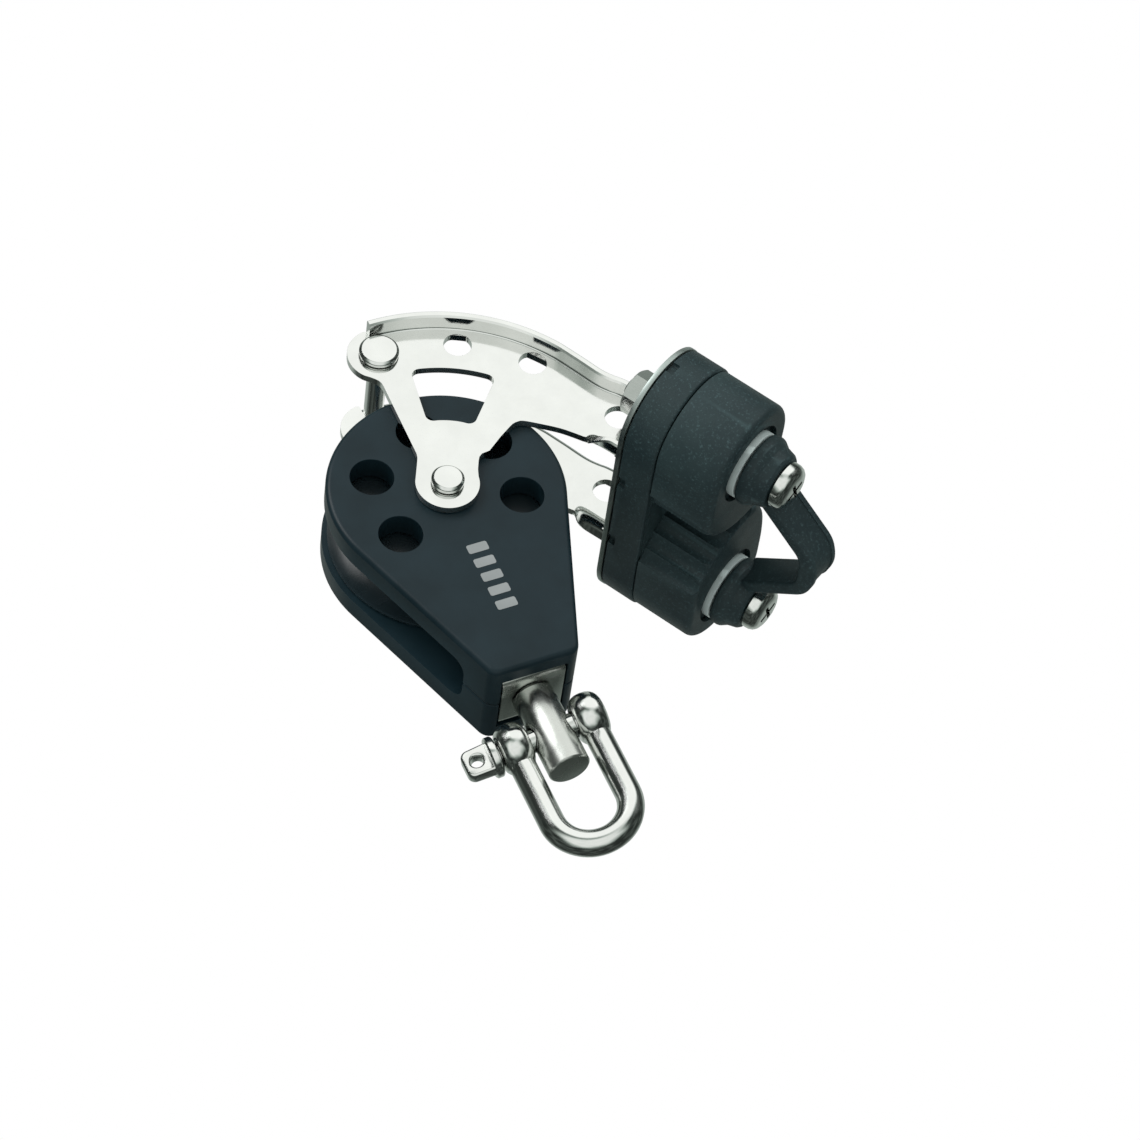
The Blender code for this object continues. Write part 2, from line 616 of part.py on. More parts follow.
# Fairlead: two bosses on the screws joined by an arch that runs a little ahead of them
ARCH_V = PIVOT_V + 2.0 * MM
arch_out = rounded([(-17.2 * MM, 45.4 * MM, 0), (-5.2 * MM, 60.3 * MM, 3.0 * MM),
                    (0, 61.9 * MM, 6.0 * MM), (5.2 * MM, 60.3 * MM, 3.0 * MM),
                    (17.2 * MM, 45.4 * MM, 0)], 3)
arch_in = rounded([(13.6 * MM, 45.4 * MM, 0), (3.6 * MM, 57.8 * MM, 2.0 * MM),
                   (-3.6 * MM, 57.8 * MM, 2.0 * MM), (-13.6 * MM, 45.4 * MM, 0)], 3)
loop = add_object("fairlead_arch", sheet("fairlead_arch", [arch_out + arch_in], 8.0 * MM),
                  parent=cleat, loc=(0, ARCH_V, 0), rot=UPRIGHT)
for side in (-1, 1):
    profile = [(0, BOSS_TOP), (5.2 * MM, BOSS_TOP), (5.7 * MM, BOSS_TOP - 0.6 * MM),
               (6.2 * MM, BOSS_TOP - 2.4 * MM), (BOSS_R - 0.15 * MM, BOSS_TOP - 3.6 * MM),
               (BOSS_R, BOSS_TOP - 4.1 * MM), (BOSS_R, BOSS_W), (0, BOSS_W)]
    boss = turned("fairlead" if side < 0 else "fairlead_boss", profile, parent=cleat,
                  loc=(side * PIVOT_U, PIVOT_V, 0), look="cam" if side < 0 else None, steps=24)
    if side < 0:
        fairlead = boss
        boolean(fairlead, loop, "UNION")
    else:
        boolean(fairlead, boss, "UNION")
for side in (-1, 1):
    for label, radius, low in (("collar_way", COLLAR_R + GAP, BOSS_W - 16.05 * MM),
                               ("screw_way", HOLE_R, 40 * MM),
                               ("head_way", 5.1 * MM, BOSS_TOP)):
        way = add_object(f"{label}_{side + 1}", cylinder(label, radius, 16 * MM, 20),
                         parent=cleat, loc=(side * PIVOT_U, PIVOT_V, low + 8 * MM))
        boolean(fairlead, way)
smooth(fairlead)

# Pan-head screws with a cross recess, and hexagon nuts behind the arms' feet
HEAD_W = BOSS_TOP + 0.25 * MM
for name, side in (("front", -1), ("rear", 1)):
    pivot = (side * PIVOT_U, PIVOT_V, 0)
    profile = [(0, HEAD_W + SCREW_HEAD_H), (3.5 * MM, HEAD_W + SCREW_HEAD_H),
               (4.3 * MM, HEAD_W + 2.6 * MM), (SCREW_HEAD_R, HEAD_W + 1.8 * MM),
               (SCREW_HEAD_R, HEAD_W), (SCREW_R, HEAD_W), (SCREW_R, 15.6 * MM),
               (SCREW_R - 0.4 * MM, 15.2 * MM), (0, 15.2 * MM)]
    screw = turned(f"{name}_screw", profile, parent=cleat, loc=pivot, look="polished", steps=24)
    for turn in (20, 110):
        cross = add_object(f"{name}_cross_{turn}", box("cross", (4.6 * MM, 0.9 * MM, 3.2 * MM)),
                           parent=cleat, rot=(0, 0, math.radians(turn)),
                           loc=(pivot[0], pivot[1], HEAD_W + SCREW_HEAD_H))
        boolean(screw, cross)
    smooth(screw)
    hexagon = circle(0, 0, 4.62 * MM, 6)
    nut_mesh = sheet(f"{name}_nut", [hexagon, circle(0, 0, HOLE_R, 16)], 3.4 * MM)
    add_object(f"{name}_nut", nut_mesh, parent=cleat, look="polished",
               loc=(pivot[0], pivot[1], FOOT_W - 0.25 * MM - 1.7 * MM))
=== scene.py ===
import json
import math

import bmesh
import bpy
from mathutils import Matrix, Vector
from mathutils.noise import noise as noise_at

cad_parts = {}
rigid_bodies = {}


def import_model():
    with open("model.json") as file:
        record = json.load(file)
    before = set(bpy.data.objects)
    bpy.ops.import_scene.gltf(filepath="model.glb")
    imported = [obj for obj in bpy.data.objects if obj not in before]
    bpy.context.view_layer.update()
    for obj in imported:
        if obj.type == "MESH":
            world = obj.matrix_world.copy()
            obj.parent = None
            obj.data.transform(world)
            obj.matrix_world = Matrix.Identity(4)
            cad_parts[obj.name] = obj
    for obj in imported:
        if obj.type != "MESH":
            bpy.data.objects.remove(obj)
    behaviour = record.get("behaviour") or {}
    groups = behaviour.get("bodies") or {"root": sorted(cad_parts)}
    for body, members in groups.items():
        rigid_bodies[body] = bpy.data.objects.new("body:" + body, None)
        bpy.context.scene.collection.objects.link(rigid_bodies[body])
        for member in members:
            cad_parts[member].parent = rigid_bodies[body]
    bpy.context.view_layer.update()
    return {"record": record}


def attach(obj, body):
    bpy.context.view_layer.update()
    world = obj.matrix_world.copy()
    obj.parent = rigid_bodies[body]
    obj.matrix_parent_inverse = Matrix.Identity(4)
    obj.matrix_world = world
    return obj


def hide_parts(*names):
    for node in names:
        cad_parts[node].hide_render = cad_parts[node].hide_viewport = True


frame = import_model()
scene = bpy.context.scene
MM = 0.001
GAP = 0.3 * MM

# Main sizes, as in the CAD. The cheeks are 0.02 mm smaller, to stay inside its box.
CHEEK_R, CHEEK_TAPER, CHEEK_BOTTOM = 22.48 * MM, math.radians(20.3), -42.0 * MM
CHEEK_OUT, SLOT_HALF, SLOT_FLOOR = 10.3 * MM, 5.3 * MM, -35.3 * MM
WINDOW_R, WINDOW_PITCH_R = 4.15 * MM, 14.0 * MM
STRAP_IN, STRAP_OUT, STRAP_W, STRAP_BASE, STRAP_T = (v * MM for v in (5.3, 6.6, 12.5, -42.0, 1.3))
ARM_MID, SHEET, ARC_R, LOBE_R = 11.3 * MM, 1.5 * MM, 38.3 * MM, 6.0 * MM
BECKET = (-1.0 * MM, 32.5 * MM)
FLANGE_OUT, LOW_FLANGE_OUT = 15.6 * MM, 14.7 * MM
LIGHTENING = ((14.0, 29.9), (25.9, 21.3), (36.3, 4.0))
PIN_Z, POST_END, SWIVEL = -51.0 * MM, -59.3 * MM, math.radians(-10.0)
ARM_TURN = math.radians(1.0)
CLEAT_ANGLE = math.radians(59.1)
PIVOT_U, PIVOT_V, CLEAT_R = 19.0 * MM, 35.4 * MM, 12.3 * MM
FOOT_W = 19.6 * MM
CAM_W, CAM_TOP, CAM_R = 29.9 * MM, 43.0 * MM, 12.0 * MM
COLLAR_R, BOSS_W, BOSS_TOP, BOSS_R = 6.9 * MM, 44.2 * MM, 49.8 * MM, 7.2 * MM
HOLE_R = 2.8 * MM
AXLE_HOLE_R, BECKET_HOLE_R, LIGHTENING_R = 2.8 * MM, 2.2 * MM, 2.7 * MM
HEAD_GAP = 0.25 * MM                             # under every rivet and screw head
PLATE_W, PLATE_T = 21.9 * MM, 1.0 * MM           # middle height and thickness
BASE_W, BASE_T, DRAIN_W = 26.15 * MM, 6.9 * MM, 22.7 * MM
CORE_W, CORE_T, CORE_INSET = 26.155 * MM, 7.43 * MM, 1.2 * MM
CAM_BORE, NUT_T = 4.7 * MM, 3.4 * MM
WELD = 1e-6                                      # points closer than this are one

UPRIGHT = Matrix.Rotation(math.radians(90), 4, "X")
ALONG_Y = Matrix.Rotation(math.radians(-90), 4, "X")
ALONG_X = Matrix.Rotation(math.radians(90), 4, "Z") @ Matrix.Rotation(math.radians(90), 4, "X")
ARM = Matrix.Rotation(ARM_TURN, 4, "Y")
CLEAT_AXES = Matrix(((0, math.sin(CLEAT_ANGLE), math.cos(CLEAT_ANGLE), 0),
                     (1, 0, 0, 0),
                     (0, math.cos(CLEAT_ANGLE), -math.sin(CLEAT_ANGLE), 0),
                     (0, 0, 0, 1)))
CLEAT = ARM @ CLEAT_AXES
SHACKLE = Matrix.Translation((0, 0, PIN_Z)) @ Matrix.Rotation(SWIVEL, 4, "Z")
ACROSS = Matrix.Rotation(math.radians(90), 4, "Y")


def at(x=0.0, y=0.0, z=0.0):
    return Matrix.Translation((x, y, z))


# ---------------------------------------------------------------- materials

def nodes_of(name):
    mat = bpy.data.materials.new(name)
    mat.use_nodes = True
    tree = mat.node_tree
    return mat, tree, tree.nodes["Principled BSDF"]


def link(tree, a, b):
    tree.links.new(a, b)


def noise(tree, scale, detail=4.0, roughness=0.6, stretch=None):
    coord = tree.nodes.new("ShaderNodeTexCoord")
    tex = tree.nodes.new("ShaderNodeTexNoise")
    tex.inputs["Scale"].default_value = scale
    tex.inputs["Detail"].default_value = detail
    tex.inputs["Roughness"].default_value = roughness
    if stretch:
        mapping = tree.nodes.new("ShaderNodeMapping")
        mapping.inputs["Rotation"].default_value = stretch[0]
        mapping.inputs["Scale"].default_value = stretch[1]
        link(tree, coord.outputs["Object"], mapping.inputs["Vector"])
        link(tree, mapping.outputs["Vector"], tex.inputs["Vector"])
    else:
        link(tree, coord.outputs["Object"], tex.inputs["Vector"])
    return tex.outputs["Fac"]


def remap(tree, value, low, high, start=0.3, end=0.7):
    node = tree.nodes.new("ShaderNodeMapRange")
    for key, number in zip(("From Min", "From Max", "To Min", "To Max"), (start, end, low, high)):
        node.inputs[key].default_value = number
    link(tree, value, node.inputs["Value"])
    return node.outputs["Result"]


def ramp(tree, value, stops):
    node = tree.nodes.new("ShaderNodeValToRGB")
    while len(node.color_ramp.elements) < len(stops):
        node.color_ramp.elements.new(0.5)
    for element, (place, colour) in zip(node.color_ramp.elements, stops):
        element.position = place
        element.color = (*colour, 1.0)
    link(tree, value, node.inputs["Fac"])
    return node.outputs["Color"]


def bump(tree, shader, layers):
    """Stacked bumps: (height value, strength, distance)."""
    last = None
    for value, strength, distance in layers:
        node = tree.nodes.new("ShaderNodeBump")
        node.inputs["Strength"].default_value = strength
        node.inputs["Distance"].default_value = distance
        link(tree, value, node.inputs["Height"])
        if last:
            link(tree, last, node.inputs["Normal"])
        last = node.outputs["Normal"]
    link(tree, last, shader.inputs["Normal"])


def plastic(name, dark, light, rough, grain_scale, grain, painted_glints=0.0, gloss=0.2):
    """Moulded plastic: mottled colour, uneven gloss, fine grain and worn edges."""
    mat, tree, shader = nodes_of(name)
    broad = noise(tree, 90.0, 3.0)
    fine = noise(tree, grain_scale, 3.0, 0.7)
    base = ramp(tree, broad, ((0.3, dark), (0.75, light)))
    worn = tree.nodes.new("ShaderNodeNewGeometry")
    edge = remap(tree, worn.outputs["Pointiness"], 0.0, 0.5, 0.53, 0.62)
    mix = tree.nodes.new("ShaderNodeMix")
    mix.data_type = "RGBA"
    link(tree, edge, mix.inputs["Factor"])
    link(tree, base, mix.inputs["A"])
    mix.inputs["B"].default_value = (*[c * 1.9 for c in light], 1.0)
    colour = mix.outputs["Result"]
    # Painted glints: lighter flecks are mixed into the base colour where the grain would catch
    # light, instead of coming from the lamps
    if painted_glints:
        glint_dots = remap(tree, noise(tree, grain_scale * 0.55, 2.0, 0.8), 0.0, painted_glints, 0.56, 0.7)
        glint_mix = tree.nodes.new("ShaderNodeMix")
        glint_mix.data_type = "RGBA"
        link(tree, glint_dots, glint_mix.inputs["Factor"])
        link(tree, colour, glint_mix.inputs["A"])
        glint_mix.inputs["B"].default_value = (*[min(1.0, c * 4.0) for c in light], 1.0)
        colour = glint_mix.outputs["Result"]
    link(tree, colour, shader.inputs["Base Color"])
    link(tree, remap(tree, broad, rough - 0.06, rough + 0.08), shader.inputs["Roughness"])
    bump(tree, shader, [(fine, grain, 0.0001), (broad, 0.05, 0.001)])
    shader.inputs["Specular IOR Level"].default_value = gloss
    return mat


def steel(name, colour, rough, brushed=None, wave=0.05):
    """Stainless steel: faint waviness, smudged gloss and fine polishing marks."""
    mat, tree, shader = nodes_of(name)
    shader.inputs["Metallic"].default_value = 1.0
    smudge = noise(tree, 140.0, 5.0, 0.65)
    stretch = brushed or ((0, 0, 0.6), (1.0, 30.0, 1.0))
    marks = noise(tree, 600.0, 4.0, 0.7, stretch)
    link(tree, ramp(tree, smudge, ((0.3, [c * 0.92 for c in colour]), (0.7, colour))),
         shader.inputs["Base Color"])
    link(tree, remap(tree, smudge, rough * 0.7, rough * 1.5), shader.inputs["Roughness"])
    bump(tree, shader, [(noise(tree, 60.0, 2.0), wave, 0.0015), (marks, 0.03, 0.0002)])
    return mat


MATS = {
    "cheek": plastic("satin_black_nylon", (0.004, 0.012, 0.016), (0.007, 0.019, 0.025),
                     0.38, 5200.0, 0.10),
    # its light speckles are painted glints, not dust
    "cleat": plastic("grained_black_nylon", (0.012, 0.023, 0.026), (0.019, 0.035, 0.037),
                     0.46, 3300.0, 0.35, painted_glints=0.30),
    "sheave": plastic("grey_acetal", (0.007, 0.014, 0.017), (0.012, 0.021, 0.025),
                      0.26, 2500.0, 0.05, gloss=0.5),
    "collar": plastic("light_grey_moulding", (0.32, 0.39, 0.38), (0.38, 0.45, 0.44),
                      0.4, 4200.0, 0.08, gloss=0.4),
    "bearing": plastic("natural_acetal", (0.55, 0.55, 0.52), (0.66, 0.66, 0.63),
                       0.35, 4200.0, 0.05),
    "mount_plate": steel("dull_grey_plate", (0.44, 0.50, 0.48), 0.42, wave=0.015),
    "polished_steel": steel("polished_stainless", (0.82, 0.83, 0.81), 0.10),
    "satin_steel": steel("turned_stainless", (0.62, 0.64, 0.61), 0.22,
                         brushed=((0, 0, 0), (1.0, 1.0, 0.06))),
    "spring_wire": steel("spring_wire", (0.5, 0.5, 0.5), 0.25),
}
INK = plastic("silver_ink", (0.13, 0.145, 0.145), (0.17, 0.185, 0.185), 0.5, 3000.0, 0.1)


# ------------------------------------------------------------------ helpers

scratch = bpy.data.collections.new("scratch")
scene.collection.children.link(scratch)
BODY = {node: body for body, names in frame["record"]["behaviour"]["bodies"].items()
        for node in names}
SLOT = {entry["node"]: entry["material_slot"] for entry in frame["record"]["subparts"]}


def make(name, mesh, matrix=Matrix.Identity(4)):
    """A working object in the scratch collection."""
    obj = bpy.data.objects.new(name, mesh)
    scratch.objects.link(obj)
    obj.matrix_world = matrix
    return obj


def from_bm(bm, name):
    bmesh.ops.recalc_face_normals(bm, faces=bm.faces)
    mesh = bpy.data.meshes.new(name)
    bm.to_mesh(mesh)
    bm.free()
    return mesh


def baked(obj):
    """The object's evaluated mesh in the row frame."""
    bpy.context.view_layer.update()
    graph = bpy.context.evaluated_depsgraph_get()
    mesh = bpy.data.meshes.new_from_object(obj.evaluated_get(graph))
    mesh.transform(obj.matrix_world)
    return mesh


RIM_ANGLE = 1.0                                  # radians; a sharper edge is a rim


def sheet(name, loops, thickness, round_top=0.0, round_low=0.0, segments=4, keep=None,
          hole_round=0.0, hole_test=None):
    """A flat outline with holes and rounded rims. keep(point) leaves a rim sharp, and
    hole_test(point) picks the rims that get hole_round instead."""
    data = bpy.data.curves.new(name, "CURVE")
    data.dimensions = "2D"
    data.fill_mode = "BOTH"
    data.extrude = thickness / 2
    for loop in loops:
        spline = data.splines.new("POLY")
        spline.points.add(len(loop) - 1)
        for point, (x, y) in zip(spline.points, loop):
            point.co = (x, y, 0.0, 1.0)
        spline.use_cyclic_u = True
    curve = bpy.data.objects.new(name, data)
    scratch.objects.link(curve)
    graph = bpy.context.evaluated_depsgraph_get()
    mesh = bpy.data.meshes.new_from_object(curve.evaluated_get(graph))
    bpy.data.objects.remove(curve, do_unlink=True)
    bm = bmesh.new()
    bm.from_mesh(mesh)
    bmesh.ops.remove_doubles(bm, verts=bm.verts, dist=WELD)
    bmesh.ops.recalc_face_normals(bm, faces=bm.faces)
    bmesh.ops.dissolve_limit(bm, angle_limit=0.005, verts=bm.verts, edges=bm.edges)
    jobs = [(1, round_top, False), (-1, round_low, False)]
    if hole_test:
        jobs = [(1, hole_round, True), (-1, hole_round, True)] + jobs

    def on_rim(edge, sign, holes):
        if any(v.co.z * sign < thickness / 2 - WELD for v in edge.verts):
            return False
        if edge.calc_face_angle(0) < RIM_ANGLE:
            return False
        mid = (edge.verts[0].co + edge.verts[1].co) / 2
        if keep and keep(mid):
            return False
        return not hole_test or hole_test(mid) == holes

    for sign, radius, holes in jobs:
        if not radius:
            continue
        rim = [edge for edge in bm.edges if on_rim(edge, sign, holes)]
        bmesh.ops.bevel(bm, geom=rim, offset=radius, segments=segments, affect="EDGES",
                        profile=0.5, clamp_overlap=True)
    bm.to_mesh(mesh)
    bm.free()
    return mesh


def lathe(name, profile, steps=96, closed=False):
    """A turned shape about Z from (radius, height) points."""
    bm = bmesh.new()
    rings = []
    for r, z in profile:
        if r < 1e-9:
            rings.append([bm.verts.new((0, 0, z))])
        else:
            rings.append([bm.verts.new((r * math.cos(2 * math.pi * k / steps),
                                        r * math.sin(2 * math.pi * k / steps), z))
                          for k in range(steps)])
    pairs = list(zip(rings, rings[1:])) + ([(rings[-1], rings[0])] if closed else [])
    for one, two in pairs:
        for k in range(steps):
            n = (k + 1) % steps
            corners = [one[k % len(one)], one[n % len(one)], two[n % len(two)], two[k % len(two)]]
            unique = list(dict.fromkeys(corners))
            if len(unique) > 2:
                bm.faces.new(unique)
    return from_bm(bm, name)


def soften(profile, radius=0.25 * MM, count=3, closed=False):
    """Rounds the corners of a turned profile. An open one keeps its two ends."""
    corners = []
    for i, (x, y) in enumerate(profile):
        r = 0.0
        if closed or 0 < i < len(profile) - 1:
            back = Vector((x, y)) - Vector(profile[i - 1])
            ahead = Vector(profile[(i + 1) % len(profile)]) - Vector((x, y))
            turn = back.angle(ahead, 0)
            if turn > 0.3:
                room = 0.45 * min(back.length, ahead.length)
                r = min(radius, room / max(math.tan(turn / 2), 1e-3))
        corners.append((x, y, r))
    return rounded(corners, count)


def arc(cx, cy, radius, start, end, count):
    angles = [math.radians(start + (end - start) * i / count) for i in range(count + 1)]
    return [(cx + radius * math.cos(t), cy + radius * math.sin(t)) for t in angles]


def circle(cx, cy, radius, count=48):
    return arc(cx, cy, radius, 0, 360, count)[:-1]


def rounded(corners, count=4):
    """An outline from (x, y, fillet radius) corners."""
    points, total = [], len(corners)
    for i, (x, y, radius) in enumerate(corners):
        if not radius:
            points.append((x, y))
            continue
        here = Vector((x, y))
        back = (Vector(corners[i - 1][:2]) - here).normalized()
        ahead = (Vector(corners[(i + 1) % total][:2]) - here).normalized()
        half = back.angle(ahead) / 2
        centre = here + (back + ahead).normalized() * (radius / math.sin(half))
        first = here + back * (radius / math.tan(half)) - centre
        final = here + ahead * (radius / math.tan(half)) - centre
        sweep = first.angle_signed(final)
        for k in range(count + 1):
            spoke = first.copy()
            spoke.rotate(Matrix.Rotation(-sweep * k / count, 2))
            points.append(tuple(centre + spoke))
    return points


def rectangle(half_x, half_y, low_round=0.0, top_round=0.0):
    return rounded([(-half_x, -half_y, low_round), (half_x, -half_y, low_round),
                    (half_x, half_y, top_round), (-half_x, half_y, top_round)])


def rod(name, radius, high, low, steps=48):
    """A plain cylinder about Z between two heights."""
    return lathe(name, [(0, high), (radius, high), (radius, low), (0, low)], steps)


def both_ends(profile):
    """A turned profile followed by its own mirror image."""
    return profile + [(r, -h) for r, h in reversed(profile)]


def in_mm(points):
    return [tuple(v * MM for v in point) for point in points]


def heading(line, i):
    """The direction of a line at its point i."""
    return (Vector(line[min(i + 1, len(line) - 1)]) - Vector(line[max(i - 1, 0)])).normalized()


def shifted(line, distance):
    """The line moved to its left."""
    ways = [heading(line, i) for i in range(len(line))]
    return [(x - way.y * distance, y + way.x * distance) for (x, y), way in zip(line, ways)]


def smooth_line(points, count):
    """A Catmull-Rom line through the points."""
    pts = [Vector(p) for p in points]
    pts = [pts[0] * 2 - pts[1]] + pts + [pts[-1] * 2 - pts[-2]]
    line = []
    for i in range(1, len(pts) - 2):
        a, b, c, d = pts[i - 1:i + 3]
        for k in range(count):
            t = k / count
            line.append(tuple(0.5 * ((2 * b) + (c - a) * t + (2 * a - 5 * b + 4 * c - d) * t * t
                                     + (3 * b - a - 3 * c + d) * t ** 3)))
    return line + [tuple(points[-1])]


def boolean(obj, mesh, matrix, operation="DIFFERENCE"):
    """Cuts, joins or trims the object with a placed mesh."""
    cutter = make("tool", mesh, matrix)
    mod = obj.modifiers.new("cut", "BOOLEAN")
    mod.operation, mod.solver, mod.object = operation, "EXACT", cutter


def piece(name, mesh, *nodes, angle=35.0, weighted=False):
    """Puts a finished mesh, already in the row frame, in place of its CAD nodes."""
    obj = bpy.data.objects.new(name, mesh)
    scene.collection.objects.link(obj)
    mesh.shade_smooth()
    mesh.set_sharp_from_angle(angle=math.radians(angle))
    if weighted:
        mod = obj.modifiers.new("normals", "WEIGHTED_NORMAL")
        mod.keep_sharp = True
    slot = SLOT[nodes[0]]
    mesh.materials.clear()
    mesh.materials.append(MATS[slot])
    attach(obj, BODY[nodes[0]])
    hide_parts(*nodes)


def placed(mesh, matrix):
    mesh.transform(matrix)
    return mesh


def joined(name, meshes):
    bm = bmesh.new()
    for mesh in meshes:
        bm.from_mesh(mesh)
    mesh = bpy.data.meshes.new(name)
    bm.to_mesh(mesh)
    bm.free()
    return mesh


def tube(name, path, radius, sides):
    """A round wire through 3D points."""
    data = bpy.data.curves.new(name, "CURVE")
    data.dimensions = "3D"
    data.bevel_depth = radius
    data.bevel_resolution = max(1, sides // 4 - 2)
    data.use_fill_caps = True
    spline = data.splines.new("POLY")
    spline.points.add(len(path) - 1)
    for point, co in zip(spline.points, path):
        point.co = (*co, 1.0)
    curve = make(name, data)
    mesh = baked(curve)
    bpy.data.objects.remove(curve, do_unlink=True)
    bm = bmesh.new()
    bm.from_mesh(mesh)
    bmesh.ops.remove_doubles(bm, verts=bm.verts, dist=WELD)
    bmesh.ops.recalc_face_normals(bm, faces=bm.faces)
    bm.to_mesh(mesh)
    bm.free()
    return mesh


# -------------------------------------------------------------- block cheeks

def cheek_outline():
    taper = math.degrees(CHEEK_TAPER)
    run = (CHEEK_R * math.sin(CHEEK_TAPER) + CHEEK_BOTTOM) / math.cos(CHEEK_TAPER)
    foot = CHEEK_R * math.cos(CHEEK_TAPER) + run * math.sin(CHEEK_TAPER)
    corners = [(x, z, 0) for x, z in arc(0, 0, CHEEK_R, -taper, 180 + taper, 90)]
    corners += [(-foot, CHEEK_BOTTOM, 2.6 * MM), (foot, CHEEK_BOTTOM, 2.6 * MM)]
    return rounded(corners, 6)


def strap_outline(inner, outer, base, thickness, top):
    return [(-outer, top), (-outer, base), (outer, base), (outer, top),
            (inner, top), (inner, base + thickness),
            (-inner, base + thickness), (-inner, top)]


WINDOWS = [(WINDOW_PITCH_R * math.cos(math.radians(a)), WINDOW_PITCH_R * math.sin(math.radians(a)))
           for a in (32, 90, 150, 210, 334)]


def on_window(mid):
    """Whether a rim point belongs to a window or to the axle hole."""
    return (any(math.hypot(mid.x - x, mid.y - z) < WINDOW_R + 0.2 * MM for x, z in WINDOWS)
            or math.hypot(mid.x, mid.y) < 4 * MM)


def on_mirror_window(mid):
    return on_window(Vector((-mid.x, mid.y, 0)))


slot_loop = rounded([(-SLOT_HALF, SLOT_FLOOR, 3 * MM), (SLOT_HALF, SLOT_FLOOR, 3 * MM),
                     (SLOT_HALF, 30 * MM, 0), (-SLOT_HALF, 30 * MM, 0)], 8)
pocket_loop = strap_outline(STRAP_IN - GAP, STRAP_OUT + GAP, STRAP_BASE - 2 * MM,
                            STRAP_T + 2 * MM + GAP, 10 * MM)
slot_mesh = sheet("slot", [slot_loop], 60 * MM)
pocket_mesh = sheet("pocket", [pocket_loop], STRAP_W + 2 * GAP)
for name, side in (("front_cheek", -1), ("rear_cheek", 1)):
    depth = CHEEK_OUT - GAP / 2
    loops = [cheek_outline()] + [circle(x if side < 0 else -x, z, WINDOW_R) for x, z in WINDOWS]
    loops.append(circle(0, 0, AXLE_HOLE_R))
    mesh = sheet(name, loops, depth, round_top=1.9 * MM, round_low=0.3 * MM, segments=6,
                 hole_round=0.45 * MM, hole_test=on_window if side < 0 else on_mirror_window)
    turn = UPRIGHT if side < 0 else Matrix.Rotation(math.pi, 4, "Z") @ UPRIGHT
    cheek = make(name, mesh, at(0, side * (CHEEK_OUT + GAP / 2) / 2, 0) @ turn)
    boolean(cheek, slot_mesh, ALONG_X)
    boolean(cheek, pocket_mesh, ALONG_X)
    boolean(cheek, rod("head_room", 5.25 * MM, 2.5 * MM, -2.5 * MM), at(0, 0, -39.4 * MM))
    piece(f"{name}_body", baked(cheek), name, weighted=True, angle=40)

# A neutral printed mark on each cheek: a short ladder of plain bars
for name, side in (("front_cheek", -1), ("rear_cheek", 1)):
    bars = []
    for k in range(5):
        bar = sheet("bar", [rectangle(2.0 * MM, 1.0 * MM, 0.4 * MM, 0.4 * MM)], 0.04 * MM)
        spot = at(0, side * (CHEEK_OUT + 0.015 * MM), (-14.6 - 3.35 * k) * MM)
        bars.append(placed(bar, spot @ UPRIGHT))
    mark = bpy.data.objects.new(f"{name}_mark", joined("mark", bars))
    scene.collection.objects.link(mark)
    mark.data.materials.append(INK)
    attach(mark, "block")

# Strap
u_bends = (0, 1.5 * MM, 1.5 * MM, 0, 0, 0.5 * MM, 0.5 * MM, 0)
u_line = strap_outline(STRAP_IN, STRAP_OUT, STRAP_BASE, STRAP_T, STRAP_W / 2)
u_mesh = sheet("strap", [rounded([(y, z, r) for (y, z), r in zip(u_line, u_bends)])], STRAP_W,
               round_top=0.2 * MM, round_low=0.2 * MM, segments=2)
strap = make("strap", u_mesh, ALONG_X)
half = STRAP_W / 2
front_view = [(-8 * MM, STRAP_BASE - MM), (8 * MM, STRAP_BASE - MM), (8 * MM, -MM), (half, -MM)]
front_view += arc(0, 0, half, 0, 180, 32) + [(-half, -MM), (-8 * MM, -MM)]
boolean(strap, sheet("shape", [front_view], 30 * MM), UPRIGHT, "INTERSECT")
for radius, reach, place in ((AXLE_HOLE_R, 20 * MM, UPRIGHT),
                             (3.6 * MM, 4 * MM, at(0, 0, STRAP_BASE))):
    boolean(strap, rod("hole", radius, reach, -reach), place)
piece("strap_plate", baked(strap), "strap")

# -------------------------------------------------------------------- sheave

S_R, S_H, G_R, S_BORE = 21.5 * MM, 5.0 * MM, 15.6 * MM, 5.6 * MM
# Rim, rope groove and rim again, then the recessed web and the bore
groove = [(S_R - 0.5 * MM, S_H), (S_R - 0.12 * MM, S_H - 0.12 * MM), (S_R, S_H - 0.5 * MM)]
for k in range(33):
    t = math.radians(180 - 180 * k / 32)
    groove.append((S_R - (S_R - G_R) * math.sin(t), -(S_H - 0.9 * MM) * math.cos(t)))
groove += [(S_R, -S_H + 0.5 * MM), (S_R - 0.12 * MM, -S_H + 0.12 * MM), (S_R - 0.5 * MM, -S_H)]
groove += [(18.6 * MM, -S_H), (18.2 * MM, -S_H + 0.5 * MM), (9.4 * MM, -S_H + 0.5 * MM),
           (9.0 * MM, -S_H), (S_BORE, -S_H), (S_BORE, S_H), (9.0 * MM, S_H),
           (9.4 * MM, S_H - 0.5 * MM), (18.2 * MM, S_H - 0.5 * MM), (18.6 * MM, S_H)]
piece("sheave_wheel", placed(lathe("sheave", groove, 160, True), ALONG_Y), "sheave", angle=30)
bush = soften([(5.3 * MM, S_H), (5.3 * MM, -S_H), (2.8 * MM, -S_H), (2.8 * MM, S_H)], closed=True)
piece("bearing_bush", placed(lathe("bush", bush, 64, True), ALONG_Y), "sheave_bush")
head = ARM_MID + SHEET / 2 + HEAD_GAP            # underside of the axle and becket heads
axle = soften([(0, head + 1.4 * MM), (2.6 * MM, head + 1.4 * MM), (3.1 * MM, head + 0.95 * MM),
               (3.1 * MM, head), (2.5 * MM, head)], 0.3 * MM)
piece("axle_pin", placed(lathe("axle", both_ends(axle), 64), ALONG_Y), "axle_rivet")

# ---------------------------------------------------------------------- arms

